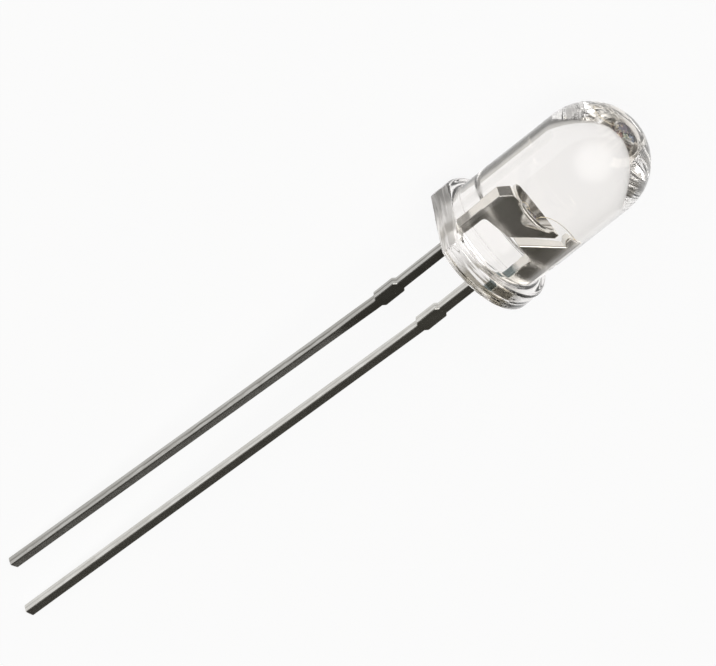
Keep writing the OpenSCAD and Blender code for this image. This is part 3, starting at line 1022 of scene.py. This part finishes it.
def pale_floor():
    """White sweep: it reads white to camera, metal and glass, and keeps a soft shadow."""
    material = bpy.data.materials.new("pale_floor")
    material.use_nodes = True
    material.node_tree.nodes.clear()
    nodes = Nodes(material.node_tree)
    path = nodes.node("ShaderNodeLightPath").outputs
    seen = nodes.calc("MAXIMUM", path["Is Camera Ray"], path["Is Glossy Ray"])
    seen = nodes.calc("MAXIMUM", seen, path["Is Transmission Ray"])
    fibres = nodes.node("ShaderNodeTexNoise", {"Scale": 900.0}).outputs["Fac"]
    tone = nodes.span(fibres, 0, 1, *FLOOR_TONE)
    paper = nodes.node("ShaderNodeBsdfDiffuse", {"Color": tone}).outputs[0]
    glow = nodes.node("ShaderNodeEmission", {"Strength": 1.0}).outputs[0]
    share = nodes.calc("MULTIPLY", seen, FLOOR_GLOW)
    mixed = nodes.node("ShaderNodeMixShader", {0: share, 1: paper, 2: glow}).outputs[0]
    nodes.node("ShaderNodeOutputMaterial", {"Surface": mixed})
    return material


def floor():
    """The sheet that the LED lies on."""
    size = FLOOR_HALF
    sheet = Shape()
    sheet.add([(-size, -size, 0), (size, -size, 0), (size, size, 0), (-size, size, 0)], [(0, 1, 2, 3)])
    piece = sheet.build("floor")
    piece.data.materials.append(pale_floor())


def direction(turn, rise):
    """Unit vector towards turn and rise, in degrees, over the floor."""
    turn, rise = math.radians(turn), math.radians(rise)
    return Vector((math.cos(rise) * math.cos(turn), math.cos(rise) * math.sin(turn), math.sin(rise)))


def cosine(degrees):
    """Cosine of an angle in degrees."""
    return math.cos(math.radians(degrees))


def sky():
    """Dim room with one large soft lamp overhead, a lighter horizon and a dark side.

    The dark side stands where the front of the leads and of the frame mirrors it.
    """
    world = bpy.data.worlds.new("studio")
    bpy.context.scene.world = world
    world.use_nodes = True
    world.node_tree.nodes.clear()
    nodes = Nodes(world.node_tree)
    place = nodes.node("ShaderNodeTexCoord").outputs["Generated"]

    def near(way, inner, outer, place=place):
        """1 within inner degrees of a direction, 0 beyond outer degrees."""
        facing = nodes.node("ShaderNodeVectorMath", {0: place, 1: way}, operation="DOT_PRODUCT")
        limits = (cosine(outer), cosine(inner))
        return nodes.span(facing.outputs["Value"], *limits, ease="SMOOTHSTEP")

    def rises(low, high):
        """0 below low degrees over the floor, 1 above high degrees."""
        limits = (math.sin(math.radians(low)), math.sin(math.radians(high)))
        return nodes.span(height, *limits, ease="SMOOTHSTEP")

    height = nodes.node("ShaderNodeSeparateXYZ", {0: place}).outputs[2]
    low = nodes.calc("MULTIPLY", rises(HORIZON_RISE, 0), near(direction(HORIZON_TURN, 0), *HORIZON_WIDE))
    colour = nodes.blend(low, ROOM, HORIZON)
    level = nodes.node("ShaderNodeVectorMath", {0: place, 1: (1, 1, 0)}, operation="MULTIPLY").outputs[0]
    level = nodes.node("ShaderNodeVectorMath", {0: level}, operation="NORMALIZE").outputs[0]
    dark = nodes.calc("MULTIPLY", rises(*DARK_RISE[:2]), rises(*DARK_RISE[:1:-1]))
    dark = nodes.calc("MULTIPLY", dark, near(direction(DARK_TURN, 0), *DARK_WIDE, level))
    colour = nodes.blend(dark, colour, DARK)
    colour = nodes.blend(near(direction(*LAMP_AT), *LAMP_WIDE), colour, LAMP)
    back = nodes.node("ShaderNodeBackground", {"Color": colour, "Strength": 1.0}).outputs[0]
    nodes.node("ShaderNodeOutputWorld", {"Surface": back})


def camera():
    """Puts the camera where the photograph was taken from."""
    turned = TO_ROW.to_3x3()
    side, back, axis = (turned.col[i].normalized() for i in range(3))
    front = -back
    level = math.cos(VIEW_TURN) * side + math.sin(VIEW_TURN) * front
    towards = math.cos(VIEW_TURN) * front - math.sin(VIEW_TURN) * side
    up = math.cos(VIEW_LEAN) * axis - math.sin(VIEW_LEAN) * towards
    to_camera = math.sin(VIEW_LEAN) * axis + math.cos(VIEW_LEAN) * towards
    right = math.cos(AXIS_SLOPE) * up + math.sin(AXIS_SLOPE) * level
    over = math.sin(AXIS_SLOPE) * up - math.cos(AXIS_SLOPE) * level
    shift_x = (PICTURE[0] / 2 - BASE_PX[0]) / PX_PER_MM
    shift_y = (BASE_PX[1] - PICTURE[1] / 2) / PX_PER_MM
    target = TO_ROW.translation + (right * shift_x + over * shift_y) * MM
    lens_data = bpy.data.cameras.new("camera")
    lens_data.sensor_width = 36
    lens_data.lens = lens_data.sensor_width * VIEW_DISTANCE / (PICTURE[0] / PX_PER_MM)
    lens_data.clip_start = 0.01
    lens_data.clip_end = 20
    holder = bpy.data.objects.new("camera", lens_data)
    bpy.context.scene.collection.objects.link(holder)
    turn = Matrix((right, over, to_camera)).transposed()
    place = target + to_camera * VIEW_DISTANCE * MM
    holder.matrix_world = Matrix.Translation(place) @ turn.to_4x4()
    bpy.context.scene.camera = holder


def chips_and_wires():
    """What stands in the cup: four chips, their adhesive and five bond wires."""
    gold_finish = gold("gold_wire")
    pad_finish = gold("gold_pad")
    low, high = upright_box("driver_chip")
    top = high[2]
    near_x = low[0] + BOND_INSET
    far_x = high[0] - BOND_INSET
    bond_y = high[1] - BOND_INSET
    driver_pads = [(near_x, y, DRIVER_PAD_R) for y in (-bond_y, 0, bond_y)]
    driver_pads += [(far_x, y, DRIVER_PAD_R) for y in (-bond_y, 0)]
    piece = chip("driver_chip", driver_pads, [])
    finish_piece(piece, "driver_chip", [silicon(), pad_finish])
    finishes = {
        "red": crystal("red_crystal", (0.5, 0.2, 0.14, 1), (0.36, 0.12, 0.1, 1)),
        "green": crystal("green_crystal", (0.5, 0.62, 0.48, 1), (0.36, 0.5, 0.4, 1)),
        "blue": crystal("blue_crystal", (0.46, 0.54, 0.7, 1), (0.32, 0.42, 0.62, 1)),
    }
    silver = silver_paste()
    for place, colour in zip((-1, 0, 1), finishes):
        node = colour + "_chip"
        die_low, die_high = upright_box(node)
        x, y = (die_low[0] + die_high[0]) / 2, (die_low[1] + die_high[1]) / 2
        reach = (die_high[0] - die_low[0]) * LINE_SHARE
        lines = [((x - reach, y - LINE_HALF), (x + reach, y + LINE_HALF))]
        lines.append(((x - LINE_HALF, y - reach), (x + LINE_HALF, y + reach)))
        piece = chip(node, [(x, y, DIE_PAD_R)], lines)
        finish_piece(piece, node, [finishes[colour], pad_finish])
        piece = paste(colour + "_paste", node, place * 5.0)
        finish_piece(piece, colour + "_paste", [silver])
        end = (near_x, place * bond_y, top)
        piece = bond_wire(colour + "_bond", (x, y, die_high[2]), end, CHIP_BOW)
        finish_piece(piece, colour + "_wire", [gold_finish], 60)
    piece = paste("driver_paste", "driver_chip", 9.0)
    finish_piece(piece, "driver_paste", [silver])
    post_x = LEAD_X + LEAD_W / 2 - LAND_W / 2
    piece = bond_wire("supply_bond", (far_x, 0, top), (post_x, 0, POST_Z), SUPPLY_BOW)
    finish_piece(piece, "supply_wire", [gold_finish], 60)
    wire_low, wire_high = upright_box("return_wire")
    foot = (wire_low[0] + FOOT_D / 2, wire_low[1] + FOOT_D / 2, cup_floor_z())
    piece = bond_wire("return_bond", (far_x, -bond_y, top), foot, RETURN_BOW)
    finish_piece(piece, "return_wire", [gold_finish], 60)


camera()
finish_piece(lens(), "lens_body", [clear_epoxy()], 60)
# The short lead's finish is a darker copy (painted shade) and the long lead's a lighter copy (painted
# light)
short_finish = plated_steel("plated_steel_short", painted_brightness=0.78, shear=0.9)
inner_edge = LEAD_X - LEAD_W / 2
long_finish = plated_steel("plated_steel_long", painted_brightness=1.08, shear=0.4, shaded_x=inner_edge)
finish_piece(cathode_frame(), "cathode_lead", [short_finish], 50, weighted=True)
finish_piece(anode_frame(), "anode_lead", [long_finish], 50, weighted=True)
chips_and_wires()
floor()
sky()

scene = bpy.context.scene
scene.view_settings.view_transform = "Standard"
scene.cycles.max_bounces = 24
scene.cycles.transmission_bounces = 20
scene.cycles.glossy_bounces = 8
scene.cycles.diffuse_bounces = 3
